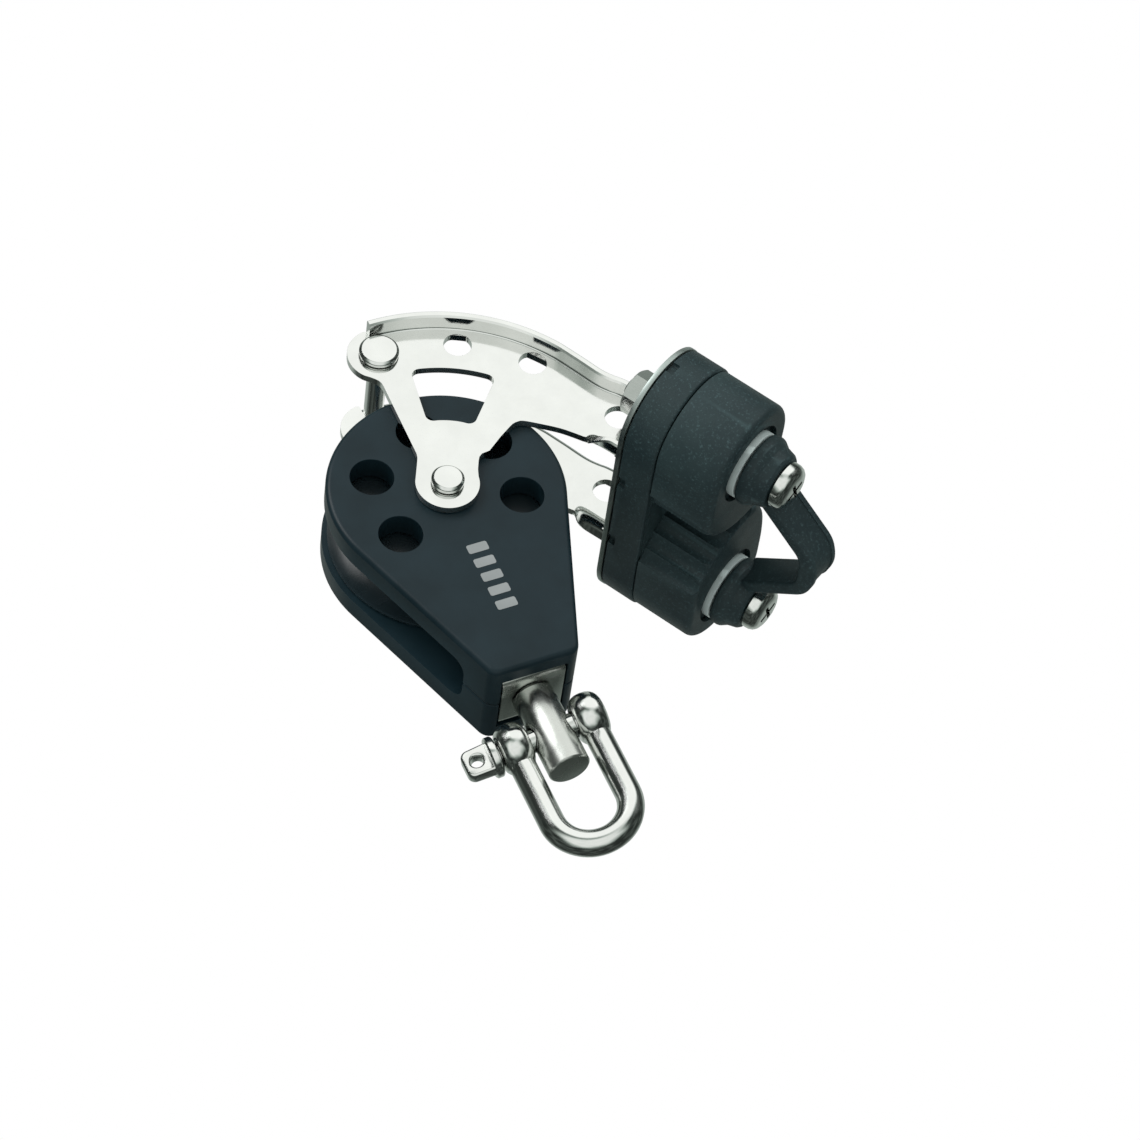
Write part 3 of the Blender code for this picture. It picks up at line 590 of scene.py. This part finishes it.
def in_arm(v, w):
    """A point of the cleat's middle plane, in the plane of an arm."""
    spot = CLEAT_AXES @ Vector((0, v, w))
    return spot.x, spot.z


END_W = FOOT_W + SHEET / 2
upper_edge = smooth_line([in_arm(39.6 * MM, END_W), in_arm(39.4 * MM, 16 * MM)]
                         + in_mm([(39.6, 9.8), (38.0, 11.4), (36.4, 13.4)])
                         + arc(0, 0, ARC_R, 27, 34, 1), 6)
upper_edge += arc(0, 0, ARC_R, 34, 92, 60)[1:]
low_start = smooth_line(in_mm([(17.4, 9.1), (18.8, 9.0), (21.6, 7.3), (24.8, 5.1), (27.0, 3.1)]), 4)
low_line = smooth_line([(28.3 * MM, 1.8 * MM), (29.4 * MM, 0.5 * MM), (31.4 * MM, -2.9 * MM),
                        in_arm(25.5 * MM, END_W)], 6)
FLANGE_IN = 3.0 * MM
upper_in, low_in = shifted(upper_edge, FLANGE_IN), shifted(low_line, FLANGE_IN)


def arm_outline():
    line = arc(0, 0, LOBE_R, 160, 354, 60)
    line += in_mm([(6.5, 1.0), (7.4, 2.9), (7.9, 3.7), (8.6, 4.2), (9.4, 4.3),
                   (10.2, 4.4), (13.4, 6.8), (16.0, 8.5), (16.7, 8.9)])
    line += low_start + [low_line[0]] + low_in + upper_in + [upper_edge[-1]]
    line += arc(*BECKET, LOBE_R, 98, 222, 36)
    return line + in_mm([(-4.5, 27.7), (-3.9, 27.1), (-3.4, 26.5), (-3.1, 25.8),
                         (-3.0, 25.0), (-3.0, 8.1), (-3.2, 7.1), (-4.0, 5.4)])


def near_line(mid, line):
    """Whether the point lies on the line, within a fiftieth of a millimetre."""
    point = Vector((mid.x, mid.y))
    for a, b in zip(line, line[1:]):
        one, two = Vector(a), Vector(b)
        span = two - one
        t = max(0.0, min(1.0, (point - one).dot(span) / max(span.length_squared, 1e-18)))
        if (point - one - span * t).length < 0.02 * MM:
            return True
    return False


def arm_keep(mid):
    """Rims that run on into a flange or the foot stay sharp."""
    joins = (upper_in, low_in, [low_line[0], low_in[0]], [upper_in[-1], upper_edge[-1]],
             [low_in[-1], upper_in[0]])
    return any(near_line(mid, line) for line in joins)


def flange(line, reach, side, run_in=0):
    """A lip bent out of the plate along its edge; the bend grows over its first stretch."""
    bend_r = 1.2 * MM
    bend_len, flat_end = bend_r * math.pi / 2, SHEET / 2 + bend_r
    lip_full, lip_none = reach - ARM_MID - bend_r, flat_end - bend_len
    half = SHEET / 2

    def section(t):
        """Points (inset, height) round the lip where it is bent by t of a right angle."""
        angle = max(t * math.pi / 2, 1e-4)
        radius, lip = bend_len / angle, lip_none + (lip_full - lip_none) * t
        middle = [(FLANGE_IN, ARM_MID, 0.0)]
        middle += [(flat_end - radius * math.sin(angle * k / 8),
                    ARM_MID + radius * (1 - math.cos(angle * k / 8)), angle * k / 8)
                   for k in range(9)]
        d, h, _ = middle[-1]
        tip = [(d - (lip - cut) * math.cos(angle), h + (lip - cut) * math.sin(angle), angle)
               for cut in (min(0.35 * MM, 0.9 * lip), 0.0)]
        outer = [(x - math.sin(q) * half, y - math.cos(q) * half) for x, y, q in middle + tip[:1]]
        inner = [(x + math.sin(q) * half, y + math.cos(q) * half) for x, y, q in middle + tip[:1]]
        x, y, q = tip[1]
        end = [(x - math.sin(q) * half * f, y - math.cos(q) * half * f) for f in (0.55, -0.55)]
        return outer + end + inner[::-1]

    bm = bmesh.new()
    rings = []
    for i, (x, z) in enumerate(line):
        way = heading(line, i)
        t = min(1.0, i / run_in) if run_in else 1.0
        rings.append([bm.verts.new((x - way.y * d, side * h, z + way.x * d))
                      for d, h in section(t * t * (3 - 2 * t))])
    for one, two in zip(rings, rings[1:]):
        for j in range(len(one)):
            n = (j + 1) % len(one)
            bm.faces.new((one[j], one[n], two[n], two[j]))
    bm.faces.new(rings[0])
    bm.faces.new(rings[-1])
    return from_bm(bm, "flange")


def polar(radius, degrees, fillet=0.0):
    """An outline corner on a circle about the axle."""
    t = math.radians(degrees)
    return radius * math.cos(t), radius * math.sin(t), fillet


OPEN_OUT, OPEN_IN = 27.2 * MM, 14.6 * MM         # radii of the arm's window
OPEN_FROM, OPEN_TO = 48.5, 83.3                  # and its sides, in degrees round the axle
arm_window = rounded([polar(OPEN_OUT, OPEN_FROM, 1.6 * MM)]
                     + [polar(OPEN_OUT, 52.2 + 27.4 * k / 24) for k in range(25)]
                     + [polar(OPEN_OUT, OPEN_TO, 1.6 * MM), polar(OPEN_IN, OPEN_TO, 1.5 * MM)]
                     + [polar(OPEN_IN, 75.5 - 19.0 * k / 12) for k in range(13)]
                     + [polar(OPEN_IN, OPEN_FROM, 1.5 * MM)], 6)
for name, side in (("front_arm", -1), ("rear_arm", 1)):
    loops = [arm_outline(), arm_window, circle(0, 0, AXLE_HOLE_R), circle(*BECKET, BECKET_HOLE_R)]
    loops += [circle(x, z, LIGHTENING_R) for x, z in in_mm(LIGHTENING)]
    plate = placed(sheet(name, loops, SHEET, round_top=0.22 * MM, round_low=0.22 * MM, segments=3,
                         keep=arm_keep), ARM @ at(0, side * ARM_MID, 0) @ UPRIGHT)
    foot = [(side * u * MM, v * MM) for u, v in ((11.2, 25.7), (14.5, 26.6), (19.0, 29.9))]
    foot += [(side * (PIVOT_U + u), PIVOT_V + v) for u, v in arc(0, 0, 5.5 * MM, -60, 90, 24)]
    foot += [(side * 15.0 * MM, 40.6 * MM), (side * 11.2 * MM, 39.5 * MM)]
    tab = placed(sheet("foot", [foot, circle(side * PIVOT_U, PIVOT_V, HOLE_R)], SHEET,
                       round_top=0.2 * MM, round_low=0.2 * MM, segments=3),
                 CLEAT @ at(0, 0, FOOT_W + SHEET / 2))
    lips = [placed(flange(upper_edge, FLANGE_OUT, side), ARM),
            placed(flange(low_line, LOW_FLANGE_OUT, side, run_in=12), ARM)]
    piece(f"{name}_plate", joined(name, [plate, tab] + lips), name, weighted=True, angle=40)

# Becket pin
pin = soften([(0, head + 1.3 * MM), (3.3 * MM, head + 1.3 * MM), (3.8 * MM, head + 0.85 * MM),
              (3.8 * MM, head), (1.9 * MM, head)], 0.3 * MM)
becket_place = ARM @ at(BECKET[0], 0, BECKET[1]) @ ALONG_Y
piece("becket_bar", placed(lathe("pin", both_ends(pin), 64), becket_place), "becket_pin")

# --------------------------------------------------------- swivel and shackle

top = STRAP_BASE + STRAP_T
post = soften([(0, top + 3.5 * MM), (5.0 * MM, top + 3.5 * MM), (5.0 * MM, top + 1.35 * MM),
               (3.3 * MM, top + 1.35 * MM), (3.3 * MM, STRAP_BASE - GAP),
               (4.0 * MM, STRAP_BASE - GAP), (4.0 * MM, POST_END + 0.3 * MM),
               (3.7 * MM, POST_END), (0, POST_END)], 0.2 * MM)
post_obj = make("post", lathe("post", post, 96))
hole = rod("hole", 2.55 * MM, 15 * MM, -15 * MM)
boolean(post_obj, hole, SHACKLE @ ACROSS)
piece("post_shaft", baked(post_obj), "swivel_post", angle=40)
washer = soften([(5.0 * MM, top + 1.05 * MM), (5.0 * MM, top + 0.25 * MM),
                 (3.6 * MM, top + 0.25 * MM), (3.6 * MM, top + 1.05 * MM)], 0.15 * MM, closed=True)
piece("swivel_washer", lathe("washer", washer, 64, True), "thrust_washer")

HALF, DROP, WIRE_R = 7.4 * MM, 17.0 * MM, 2.5 * MM
EAR_R, EAR_HALF = 4.9 * MM, 3.0 * MM
path = [(-HALF, 0, z * MM) for z in (-2, -6, -12)]
path += [(x, 0, z) for x, z in arc(0, -DROP, HALF, 180, 360, 40)]
path += [(HALF, 0, z * MM) for z in (-12, -6, -2)]
bow = make("bow", tube("bow", path, WIRE_R, 40), SHACKLE)
ear = [(0, 1), (0.5, 1), (0.62, 0.98), (0.74, 0.9), (0.85, 0.76), (0.93, 0.57), (0.98, 0.32),
       (1, 0)]
ear = [(EAR_R * r, EAR_HALF * h) for r, h in ear + [(r, -h) for r, h in reversed(ear[:-1])]]
for side in (-1, 1):
    boolean(bow, lathe("ear", ear, 64), SHACKLE @ at(side * HALF, 0, 0) @ ACROSS, "UNION")
boolean(bow, hole, SHACKLE @ ACROSS)
piece("bow_forging", baked(bow), "shackle_bow", angle=50)

shank = soften(in_mm([(0, 10.3), (1.95, 10.3), (2.25, 10.0), (2.25, -10.7), (3.6, -10.7),
                      (3.9, -11.0), (3.9, -12.0), (3.6, -12.3), (0, -12.3)]), 0.15 * MM)
pin_obj = make("pin", lathe("pin", shank, 64), SHACKLE @ ACROSS)
lug = rounded(in_mm([(-17.2, -2.8, 1.5), (-11.8, -3.1, 0), (-11.8, 3.1, 0), (-17.2, 2.8, 1.5)]), 10)
lug_mesh = sheet("lug", [lug, circle(-14.7 * MM, 0, 1.2 * MM, 32)], 2.4 * MM,
                 round_top=0.5 * MM, round_low=0.5 * MM, segments=4)
boolean(pin_obj, lug_mesh, SHACKLE @ UPRIGHT, "UNION")
piece("pin_forging", baked(pin_obj), "shackle_pin", angle=50)

# ----------------------------------------------------------------- cam cleat

def obround(radius, count=48):
    return arc(PIVOT_U, 0, radius, -90, 90, count) + arc(-PIVOT_U, 0, radius, 90, 270, count)


holes = [circle(side * PIVOT_U, 0, HOLE_R) for side in (-1, 1)]
plate = sheet("plate", [obround(CLEAT_R + 0.1 * MM)] + holes, PLATE_T,
              round_top=0.15 * MM, round_low=0.15 * MM, segments=2)
piece("mounting_plate", placed(plate, CLEAT @ at(0, PIVOT_V, PLATE_W)), "cleat_plate")
base = make("base", sheet("base", [obround(CLEAT_R)] + holes, BASE_T, round_top=0.5 * MM,
                          round_low=0.15 * MM, segments=4), CLEAT @ at(0, PIVOT_V, BASE_W))
# Drain notches round the rim: one at each end, and two on the side that faces the block
for u, v in ((-31.3, 0.0), (-8.8, -12.3), (8.8, -12.3), (31.3, 0.0)):
    turn = math.atan2(-u + math.copysign(19, u), -v) if abs(u) > 19 else 0.0
    notch = sheet("notch", [rectangle(1.3 * MM, 0.8 * MM, top_round=0.4 * MM)], 3.2 * MM,
                  round_top=0.3 * MM)
    boolean(base, notch, CLEAT @ at(u * MM, PIVOT_V + v * MM, DRAIN_W)
            @ Matrix.Rotation(-turn, 4, "Z"))
# Inset landing that stands close to the plate and the cams
core = [obround(CLEAT_R - CORE_INSET)]
core += [circle(side * PIVOT_U, 0, HOLE_R + GAP) for side in (-1, 1)]
boolean(base, sheet("core", core, CORE_T), CLEAT @ at(0, PIVOT_V, CORE_W), "UNION")
piece("base_moulding", baked(base), "cleat_base", weighted=True)

TEETH, TOOTH, PER_TOOTH = 6, 0.95 * MM, 12
JAW_START, JAW_SPAN = -54, 72                    # degrees round the pivot


def jaw_radius(degrees):
    """The jaw's radius, which grows along it."""
    reach = min(max((degrees - JAW_START) / JAW_SPAN, 0.0), 1.0)
    return (15.0 + 4.35 * reach ** 0.8) * MM


def cam_outline(tooth):
    """The front cam seen from above, with teeth of the given depth."""
    line = []
    count = TEETH * PER_TOOTH
    for k in range(count + 1):
        degrees = JAW_START + JAW_SPAN * k / count
        phase = (k / PER_TOOTH) % 1.0
        dip = tooth * abs(math.sin(math.pi * phase)) ** 0.7
        radius = jaw_radius(degrees) - dip
        t = math.radians(degrees)
        line.append((radius * math.cos(t), radius * math.sin(t)))
    line += smooth_line(in_mm([(18.1, 7.1), (16.2, 8.7), (12.5, 10.7), (6.5, 11.8),
                               (0.5, 12.0)]), 5)
    line += arc(0, 0, CAM_R, 92, 268, 56)
    line += smooth_line(in_mm([(0.6, -12.0), (4.5, -12.15), (7.6, -12.15)]), 4)
    return line


COIL_R, COIL_PITCH, COIL_TURNS, COIL_STEPS = 6.5 * MM, 1.2 * MM, 2.5, 48
for name, side in (("front_cam", -1), ("rear_cam", 1)):
    shape, domed = cam_outline(TOOTH), cam_outline(0.0)
    if side > 0:
        shape = [(-u, v) for u, v in reversed(shape)]
        domed = [(-u, v) for u, v in reversed(domed)]
    pivot = at(side * PIVOT_U, PIVOT_V, 0)
    height = CAM_TOP - CAM_W
    cam = make(name, sheet(name, [shape, circle(0, 0, CAM_BORE)], height),
               CLEAT @ pivot @ at(0, 0, (CAM_W + CAM_TOP) / 2))
    boolean(cam, sheet("dome", [domed], height + MM, round_top=2.8 * MM, segments=8),
            CLEAT @ pivot @ at(0, 0, (CAM_W + CAM_TOP - MM) / 2), "INTERSECT")
    # Seats for the collar above and the spring below
    for radius, low, high in ((8.2 * MM, CAM_TOP - 1.2 * MM, CAM_TOP + MM),
                              (8.4 * MM, CAM_W - MM, CAM_W + 3.8 * MM)):
        boolean(cam, rod("seat", radius, high, low, 64), CLEAT @ pivot)
    piece(f"{name}_moulding", baked(cam), name, angle=32)
    collar = soften([(COLLAR_R, 43.9 * MM), (COLLAR_R, 42.1 * MM), (4.4 * MM, 42.1 * MM),
                     (4.4 * MM, 29.9 * MM), (HOLE_R, 29.9 * MM), (HOLE_R, 43.9 * MM)],
                    0.3 * MM, closed=True)
    piece(f"{name}_collar", placed(lathe("collar", collar, 80, True), CLEAT @ pivot),
          f"{name}_bush")
    coil = []
    for k in range(int(COIL_TURNS * COIL_STEPS) + 1):
        t = side * 2 * math.pi * k / COIL_STEPS
        coil.append((COIL_R * math.cos(t), COIL_R * math.sin(t), COIL_PITCH * k / COIL_STEPS))
    piece(f"{name}_coil", placed(tube("coil", coil, 0.45 * MM, 16),
                                 CLEAT @ pivot @ at(0, 0, CAM_W + 0.35 * MM)), f"{name}_spring")

# Fairlead: the arch has a shallow panel between two raised rims
arch_out = rounded(in_mm([(-17.2, 45.4, 0), (-5.2, 60.3, 6.5), (0, 61.9, 9.0), (5.2, 60.3, 6.5),
                          (17.2, 45.4, 0)]), 12)
arch_in = rounded(in_mm([(13.6, 45.4, 0), (3.6, 57.8, 4.0), (-3.6, 57.8, 4.0),
                         (-13.6, 45.4, 0)]), 12)
place = CLEAT @ at(0, PIVOT_V + 2.0 * MM, 0) @ UPRIGHT
fair = make("fairlead", sheet("loop", [arch_out + arch_in], 8.0 * MM, round_top=0.7 * MM,
                              round_low=0.7 * MM, segments=4), place)
panel = shifted(arch_out, -0.3 * MM) + shifted(arch_out, 3.0 * MM)[::-1]
boolean(fair, sheet("panel", [panel], 5.2 * MM, round_top=0.25 * MM, round_low=0.25 * MM,
                    segments=2), place)
boss = soften([(0, BOSS_TOP), (5.2 * MM, BOSS_TOP), (5.7 * MM, BOSS_TOP - 0.6 * MM),
               (6.2 * MM, BOSS_TOP - 2.4 * MM), (BOSS_R - 0.15 * MM, BOSS_TOP - 3.6 * MM),
               (BOSS_R, BOSS_TOP - 4.1 * MM), (BOSS_R, BOSS_W), (0, BOSS_W)], 0.5 * MM, 5)
for side in (-1, 1):
    boolean(fair, lathe("boss", boss, 72), CLEAT @ at(side * PIVOT_U, PIVOT_V, 0), "UNION")
# Ways for the collar, the screw and its head. The last cuts 0.03 mm into the boss, because
# an EXACT cut level with its top face fails.
for side in (-1, 1):
    for radius, low in ((COLLAR_R + GAP, BOSS_W - 16.05 * MM), (HOLE_R, 40 * MM),
                        (5.1 * MM, BOSS_TOP - 0.03 * MM)):
        boolean(fair, rod("way", radius, low + 16 * MM, low, 64),
                CLEAT @ at(side * PIVOT_U, PIVOT_V, 0))
piece("fairlead_moulding", baked(fair), "fairlead", angle=38)

# Screws and nuts
HEAD_W = BOSS_TOP + HEAD_GAP
NUT_W = FOOT_W - HEAD_GAP - NUT_T / 2
for name, side in (("front", -1), ("rear", 1)):
    pivot = at(side * PIVOT_U, PIVOT_V, 0)
    profile = [(0, HEAD_W + 2.95 * MM), (2.2 * MM, HEAD_W + 2.93 * MM),
               (3.3 * MM, HEAD_W + 2.8 * MM), (3.95 * MM, HEAD_W + 2.5 * MM),
               (4.4 * MM, HEAD_W + 2.0 * MM),
               (4.65 * MM, HEAD_W + 1.3 * MM), (4.7 * MM, HEAD_W + 0.2 * MM), (4.5 * MM, HEAD_W),
               (2.5 * MM, HEAD_W), (2.5 * MM, 15.6 * MM), (2.1 * MM, 15.2 * MM), (0, 15.2 * MM)]
    screw = make("screw", lathe("screw", profile, 72), CLEAT @ pivot)
    for turn in (20, 110):
        cross = sheet("cross", [rectangle(2.3 * MM, 0.45 * MM, 0.2 * MM, 0.2 * MM)], 3.2 * MM)
        boolean(screw, cross, CLEAT @ pivot @ at(0, 0, HEAD_W + 3.0 * MM)
                @ Matrix.Rotation(math.radians(turn), 4, "Z"))
    piece(f"{name}_fixing", baked(screw), f"{name}_screw", angle=40)
    spot = CLEAT @ pivot @ at(0, 0, NUT_W)
    nut = make("nut", sheet("nut", [circle(0, 0, 4.62 * MM, 6), circle(0, 0, HOLE_R)], NUT_T), spot)
    chamfer = both_ends(in_mm([(0, 1.75), (3.9, 1.75), (4.7, 1.3)]))
    boolean(nut, lathe("chamfer", chamfer, 72), spot, "INTERSECT")
    piece(f"{name}_hexnut", baked(nut), f"{name}_nut")

for obj in list(scratch.objects):
    bpy.data.objects.remove(obj, do_unlink=True)
bpy.data.collections.remove(scratch)

# ------------------------------------------------------------ stage and light

world = bpy.data.worlds.new("studio")
world.use_nodes = True
scene.world = world
world.node_tree.nodes["Background"].inputs["Color"].default_value = (1.0, 1.0, 1.0, 1.0)
world.node_tree.nodes["Background"].inputs["Strength"].default_value = 1.0

floor = bpy.data.meshes.new("floor")
FLOOR_HALF, FLOOR_Z = 6.0, -0.9
floor.from_pydata([(x * FLOOR_HALF, y * FLOOR_HALF, FLOOR_Z)
                   for x, y in ((-1, -1), (1, -1), (1, 1), (-1, 1))], [], [(0, 1, 2, 3)])
floor_obj = bpy.data.objects.new("floor", floor)
scene.collection.objects.link(floor_obj)
pale, _, shader = nodes_of("pale_floor")
shader.inputs["Base Color"].default_value = (0.85, 0.85, 0.84, 1.0)
shader.inputs["Roughness"].default_value = 0.8
floor.materials.append(pale)


# A shell of soft light and dark flags, seen only in reflections
SHELL_R = 0.86
TOWARD = Vector((-0.31028, -0.79873, -0.51551)).normalized()     # back along the camera's axis
KEY_WAY = Vector((0.31, -0.80, 0.52)).normalized()               # what the flat arm faces reflect
AHEAD, BEHIND, DARKEST, SOFTBOX = 0.92, 0.40, 0.03, 1.12


def ease(value, low, high):
    """0 up to low, 1 from high on, and a smooth step between."""
    t = min(1.0, max(0.0, (value - low) / (high - low)))
    return t * t * (3 - 2 * t)


def shell_light(way):
    """Bright ahead and at the key softbox, dark to the sides, grey behind."""
    front = math.degrees(way.angle(TOWARD)) + 9.0 * noise_at(way * 2.3)
    key = math.degrees(way.angle(KEY_WAY)) + 4.0 * noise_at(way * 3.1)
    level = AHEAD - 0.87 * ease(front, 24, 50) + BEHIND * ease(front, 112, 150)
    level += 0.10 * noise_at(way * 5.0 + Vector((3, 1, 2)))
    level = max(level, DARKEST)
    return level + (SOFTBOX - level) * (1.0 - ease(key, 26, 42))


bm = bmesh.new()
bmesh.ops.create_uvsphere(bm, u_segments=160, v_segments=80, radius=SHELL_R)
shell_mesh = from_bm(bm, "studio_shell")
shade = shell_mesh.color_attributes.new("shade", "FLOAT_COLOR", "POINT")
for vert, entry in zip(shell_mesh.vertices, shade.data):
    level = shell_light(vert.co.normalized())
    cast = 0.16 * max(0.0, 1.0 - level)          # dark cloth is slightly green
    entry.color = (level * (0.985 - cast), level, level * (0.975 - cast / 2), 1.0)
shell = bpy.data.objects.new("studio_shell", shell_mesh)
scene.collection.objects.link(shell)
shell.visible_camera = shell.visible_diffuse = shell.visible_shadow = False
cloth, tree, shader = nodes_of("studio_cloth")
tone = tree.nodes.new("ShaderNodeAttribute")
tone.attribute_name = "shade"
shader.inputs["Base Color"].default_value = (0, 0, 0, 1)
shader.inputs["Specular IOR Level"].default_value = 0.0
shader.inputs["Emission Strength"].default_value = 1.0
link(tree, tone.outputs["Color"], shader.inputs["Emission Color"])
cloth.cycles.emission_sampling = "NONE"
shell_mesh.materials.append(cloth)


def lamp(name, place, aim, size, power):
    data = bpy.data.lights.new(name, "AREA")
    data.shape, data.size, data.energy = "SQUARE", size, power
    obj = bpy.data.objects.new(name, data)
    scene.collection.objects.link(obj)
    obj.location = place
    obj.rotation_euler = (Vector(aim) - Vector(place)).to_track_quat("-Z", "Y").to_euler()


lamp("key", (-0.45, -0.75, 0.65), (0, 0, 0), 0.5, 7.0)
lamp("fill", (0.8, -0.7, 0.1), (0, 0, 0), 0.6, 2.0)

# -------------------------------------------------------------------- camera

right = Vector((0.91111, -0.0951, -0.40105)).normalized()
toward = right.cross(Vector((0.27131, -0.59412, 0.75724))).normalized()
up = toward.cross(right)
camera = bpy.data.cameras.new("camera")
camera.sensor_width = 36.0
camera.lens = 137.4
camera.clip_start, camera.clip_end = 0.01, 50.0
camera_obj = bpy.data.objects.new("camera", camera)
scene.collection.objects.link(camera_obj)
camera_obj.matrix_world = Matrix.Translation((-0.23314, -0.6464, -0.4356)) @ Matrix(
    (right, up, toward)).transposed().to_4x4()
scene.camera = camera_obj
scene.view_settings.view_transform = "Standard"
